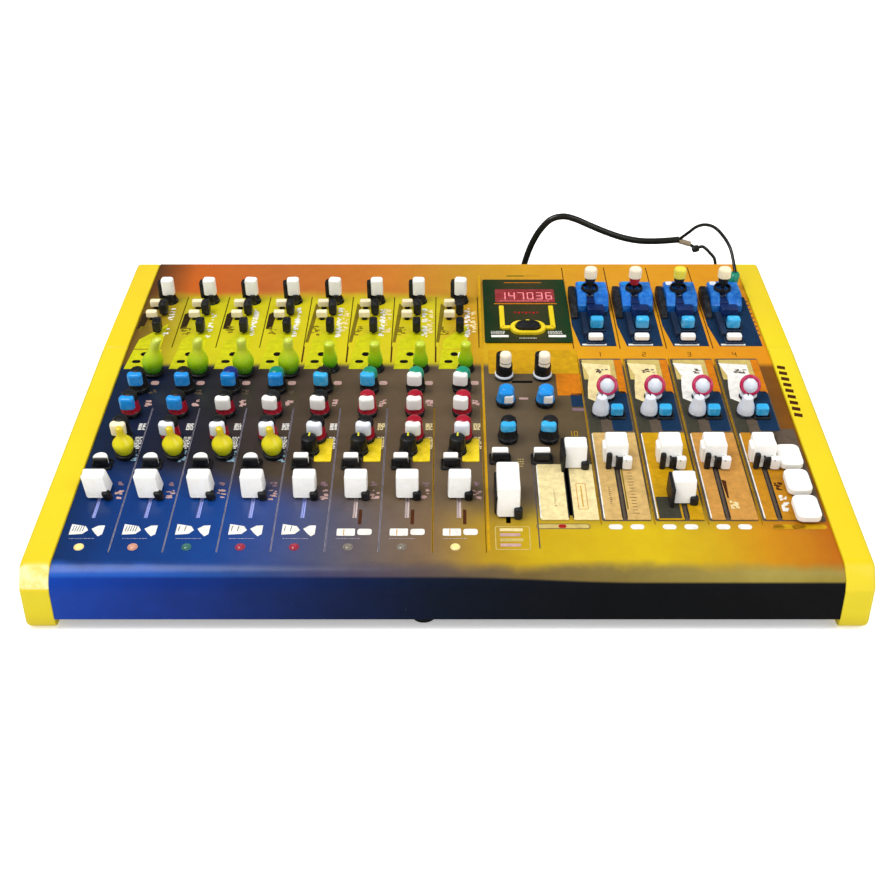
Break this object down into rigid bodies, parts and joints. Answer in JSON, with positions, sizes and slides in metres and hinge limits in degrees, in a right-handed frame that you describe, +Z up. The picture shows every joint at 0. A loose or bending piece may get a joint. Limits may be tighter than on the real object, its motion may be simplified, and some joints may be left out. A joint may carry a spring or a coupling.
{
  "type": "lighting control desk",
  "caption": "Wedge-shaped desktop control console with moulded end cheeks, a kinked sheet-metal deck of faders, knobs, keys and levers, a display and a cable at the rear.",
  "frame": {"origin": "centre of the casing's footprint on the plane the rubber feet rest on", "axes": "+X to the operator's right along the front edge, +Y away from the operator, +Z up"},
  "size_m": [0.427, 0.3367, 0.107],
  "materials": {
    "cheek_yellow": "moulded, satin gloss",
    "deck_paint": "graded paint, navy to gold, satin",
    "tray_paint": "powder coat, fine texture",
    "board_green": "solder mask",
    "track_steel": "brushed",
    "part_black": "moulded, matt",
    "window_green": "polished, dark green",
    "card_cream": "printed card, satin",
    "block_blue": "moulded, gloss",
    "foot_rubber": "matt",
    "screw_steel": "plated",
    "lamp_lens": "clear tinted",
    "cable_rubber": "satin jacket",
    "cap_white": "moulded, satin",
    "key_cyan": "moulded, satin",
    "rocker_red": "moulded, gloss",
    "knob_lime": "moulded, gloss",
    "knob_blue": "moulded, gloss",
    "knob_crimson": "moulded, gloss",
    "knob_magenta": "moulded, gloss",
    "knob_yellow": "moulded, gloss"
  },
  "bodies": {
    "desk": {"base_tray": "tray_paint", "top_panel": "deck_paint", "left_cheek": "cheek_yellow", "right_cheek": "cheek_yellow", "control_board": "board_green", "main_board": "board_green", "fader_tracks": "track_steel", "pot_bodies": "track_steel", "switch_bodies": "part_black", "display_module": "part_black", "display_window": "window_green", "fader_plates": "card_cream", "lever_blocks": "block_blue", "rear_sockets": "part_black", "rubber_feet": "foot_rubber", "screws": "screw_steel", "status_lamps": "lamp_lens", "patch_cable": "cable_rubber", "trim_knobs": "cap_white", "lime_knobs": "knob_lime", "tone_knobs": "knob_crimson", "yellow_knobs": "knob_yellow", "master_knobs": "knob_blue"},
    "flash_buttons": {"flash_buttons": "cap_white"},
    "channel_buttons": {"channel_buttons": "part_black"},
    "bank_keys": {"bank_keys": "key_cyan"},
    "page_keys": {"page_keys": "cap_white"},
    "nav_key": {"nav_key": "part_black"},
    "power_rocker": {"power_rocker": "rocker_red"},
    "lever_1": {"lever_1": "cap_white"},
    "lever_2": {"lever_2": "knob_crimson"},
    "lever_3": {"lever_3": "knob_yellow"},
    "lever_4": {"lever_4": "knob_lime"},
    "fader_1": {"fader_1": "cap_white"},
    "fader_2": {"fader_2": "cap_white"},
    "fader_3": {"fader_3": "cap_white"},
    "fader_4": {"fader_4": "cap_white"},
    "fader_5": {"fader_5": "cap_white"},
    "fader_6": {"fader_6": "cap_white"},
    "fader_7": {"fader_7": "cap_white"},
    "fader_8": {"fader_8": "cap_white"},
    "fader_9": {"fader_9": "cap_white"},
    "fader_10": {"fader_10": "cap_white"},
    "fader_11": {"fader_11": "cap_white"},
    "fader_12": {"fader_12": "cap_white"},
    "fader_13": {"fader_13": "cap_white"},
    "fader_14": {"fader_14": "cap_white"},
    "fader_15": {"fader_15": "cap_white"},
    "trim_knob_1": {"trim_knob_1": "cap_white"},
    "lime_knob_1": {"lime_knob_1": "knob_lime"},
    "blue_knob_1": {"blue_knob_1": "knob_blue"},
    "cyan_knob_1": {"cyan_knob_1": "knob_crimson"},
    "white_knob_1": {"white_knob_1": "cap_white"},
    "yellow_knob_1": {"yellow_knob_1": "knob_yellow"},
    "ring_knob_1": {"ring_knob_1": "knob_magenta"},
    "ring_knob_2": {"ring_knob_2": "knob_magenta"},
    "ring_knob_3": {"ring_knob_3": "knob_magenta"},
    "ring_knob_4": {"ring_knob_4": "knob_magenta"},
    "master_knob_left": {"master_knob_left": "cap_white"},
    "master_knob_right": {"master_knob_right": "cap_white"}
  },
  "joints": [
    {"name": "flash_press", "type": "slide", "parent": "desk", "child": "flash_buttons", "axis": [0, 0.1592, -0.9872], "range_m": [0, 0.0015]},
    {"name": "channel_press", "type": "slide", "parent": "desk", "child": "channel_buttons", "axis": [0, 0.1274, -0.9919], "range_m": [0, 0.0015]},
    {"name": "bank_press", "type": "slide", "parent": "desk", "child": "bank_keys", "axis": [0, 0.1592, -0.9872], "range_m": [0, 0.0015]},
    {"name": "page_press", "type": "slide", "parent": "desk", "child": "page_keys", "axis": [0, 0.1592, -0.9872], "range_m": [0, 0.0015]},
    {"name": "nav_press", "type": "slide", "parent": "desk", "child": "nav_key", "axis": [0, 0.1274, -0.9919], "range_m": [0, 0.0015]},
    {"name": "power_tilt", "type": "hinge", "parent": "desk", "child": "power_rocker", "pos_m": [-0.034, 0.15115, 0.038], "axis": [1, 0, 0], "range_deg": [-8, 8]},
    {"name": "lever_1_tilt", "type": "hinge", "parent": "desk", "child": "lever_1", "pos_m": [0.0926, 0.09894, 0.07675], "axis": [1, 0, 0], "range_deg": [-12, 12]},
    {"name": "lever_2_tilt", "type": "hinge", "parent": "desk", "child": "lever_2", "pos_m": [0.1214, 0.09894, 0.07675], "axis": [1, 0, 0], "range_deg": [-12, 12]},
    {"name": "lever_3_tilt", "type": "hinge", "parent": "desk", "child": "lever_3", "pos_m": [0.1502, 0.09894, 0.07675], "axis": [1, 0, 0], "range_deg": [-12, 12]},
    {"name": "lever_4_tilt", "type": "hinge", "parent": "desk", "child": "lever_4", "pos_m": [0.179, 0.09894, 0.07675], "axis": [1, 0, 0], "range_deg": [-12, 12]},
    {"name": "fader_1_slide", "type": "slide", "parent": "desk", "child": "fader_1", "axis": [0, 0.9872, 0.1592], "range_m": [-0.0165, 0.0105]},
    {"name": "fader_2_slide", "type": "slide", "parent": "desk", "child": "fader_2", "axis": [0, 0.9872, 0.1592], "range_m": [-0.0165, 0.0105]},
    {"name": "fader_3_slide", "type": "slide", "parent": "desk", "child": "fader_3", "axis": [0, 0.9872, 0.1592], "range_m": [-0.0165, 0.0105]},
    {"name": "fader_4_slide", "type": "slide", "parent": "desk", "child": "fader_4", "axis": [0, 0.9872, 0.1592], "range_m": [-0.0165, 0.0105]},
    {"name": "fader_5_slide", "type": "slide", "parent": "desk", "child": "fader_5", "axis": [0, 0.9872, 0.1592], "range_m": [-0.0165, 0.0105]},
    {"name": "fader_6_slide", "type": "slide", "parent": "desk", "child": "fader_6", "axis": [0, 0.9872, 0.1592], "range_m": [-0.0165, 0.0105]},
    {"name": "fader_7_slide", "type": "slide", "parent": "desk", "child": "fader_7", "axis": [0, 0.9872, 0.1592], "range_m": [-0.0165, 0.0105]},
    {"name": "fader_8_slide", "type": "slide", "parent": "desk", "child": "fader_8", "axis": [0, 0.9872, 0.1592], "range_m": [-0.0165, 0.0105]},
    {"name": "fader_9_slide", "type": "slide", "parent": "desk", "child": "fader_9", "axis": [0, 0.9872, 0.1592], "range_m": [-0.013, 0.017]},
    {"name": "fader_10_slide", "type": "slide", "parent": "desk", "child": "fader_10", "axis": [0, 0.9872, 0.1592], "range_m": [-0.04, 0.008]},
    {"name": "fader_11_slide", "type": "slide", "parent": "desk", "child": "fader_11", "axis": [0, 0.9872, 0.1592], "range_m": [-0.046, 0.014]},
    {"name": "fader_12_slide", "type": "slide", "parent": "desk", "child": "fader_12", "axis": [0, 0.9872, 0.1592], "range_m": [-0.008, 0.014]},
    {"name": "fader_13_slide", "type": "slide", "parent": "desk", "child": "fader_13", "axis": [0, 0.9872, 0.1592], "range_m": [-0.046, 0.014]},
    {"name": "fader_14_slide", "type": "slide", "parent": "desk", "child": "fader_14", "axis": [0, 0.9872, 0.1592], "range_m": [-0.046, 0.014]},
    {"name": "fader_15_slide", "type": "slide", "parent": "desk", "child": "fader_15", "axis": [0, 0.9872, 0.1592], "range_m": [-0.014, 0.008]},
    {"name": "trim_knob_1_turn", "type": "hinge", "parent": "desk", "child": "trim_knob_1", "pos_m": [-0.18215, 0.101, 0.07247], "axis": [0, -0.1274, 0.9919], "range_deg": [-140, 140]},
    {"name": "lime_knob_1_turn", "type": "hinge", "parent": "desk", "child": "lime_knob_1", "pos_m": [-0.17665, 0.01731, 0.06088], "axis": [0, -0.1592, 0.9872], "range_deg": [-140, 140]},
    {"name": "blue_knob_1_turn", "type": "hinge", "parent": "desk", "child": "blue_knob_1", "pos_m": [-0.18215, 0.00102, 0.05825], "axis": [0, -0.1592, 0.9872], "range_deg": [-140, 140]},
    {"name": "cyan_knob_1_turn", "type": "hinge", "parent": "desk", "child": "cyan_knob_1", "pos_m": [-0.18215, -0.02189, 0.05456], "axis": [0, -0.1592, 0.9872], "range_deg": [-140, 140]},
    {"name": "white_knob_1_turn", "type": "hinge", "parent": "desk", "child": "white_knob_1", "pos_m": [-0.18215, -0.04538, 0.05077], "axis": [0, -0.1592, 0.9872], "range_deg": [-140, 140]},
    {"name": "yellow_knob_1_turn", "type": "hinge", "parent": "desk", "child": "yellow_knob_1", "pos_m": [-0.17795, -0.05921, 0.04854], "axis": [0, -0.1592, 0.9872], "range_deg": [-140, 140]},
    {"name": "ring_knob_1_turn", "type": "hinge", "parent": "desk", "child": "ring_knob_1", "pos_m": [0.0932, -0.00589, 0.05714], "axis": [0, -0.1592, 0.9872], "range_deg": [-140, 140]},
    {"name": "ring_knob_2_turn", "type": "hinge", "parent": "desk", "child": "ring_knob_2", "pos_m": [0.121, -0.00589, 0.05714], "axis": [0, -0.1592, 0.9872], "range_deg": [-140, 140]},
    {"name": "ring_knob_3_turn", "type": "hinge", "parent": "desk", "child": "ring_knob_3", "pos_m": [0.1488, -0.00589, 0.05714], "axis": [0, -0.1592, 0.9872], "range_deg": [-140, 140]},
    {"name": "ring_knob_4_turn", "type": "hinge", "parent": "desk", "child": "ring_knob_4", "pos_m": [0.1766, -0.00589, 0.05714], "axis": [0, -0.1592, 0.9872], "range_deg": [-140, 140]},
    {"name": "master_knob_left_turn", "type": "hinge", "parent": "desk", "child": "master_knob_left", "pos_m": [0.034, 0.01385, 0.06032], "axis": [0, -0.1592, 0.9872], "range_deg": [-140, 140]},
    {"name": "master_knob_right_turn", "type": "hinge", "parent": "desk", "child": "master_knob_right", "pos_m": [0.057, 0.01385, 0.06032], "axis": [0, -0.1592, 0.9872], "range_deg": [-140, 140]}
  ]
}
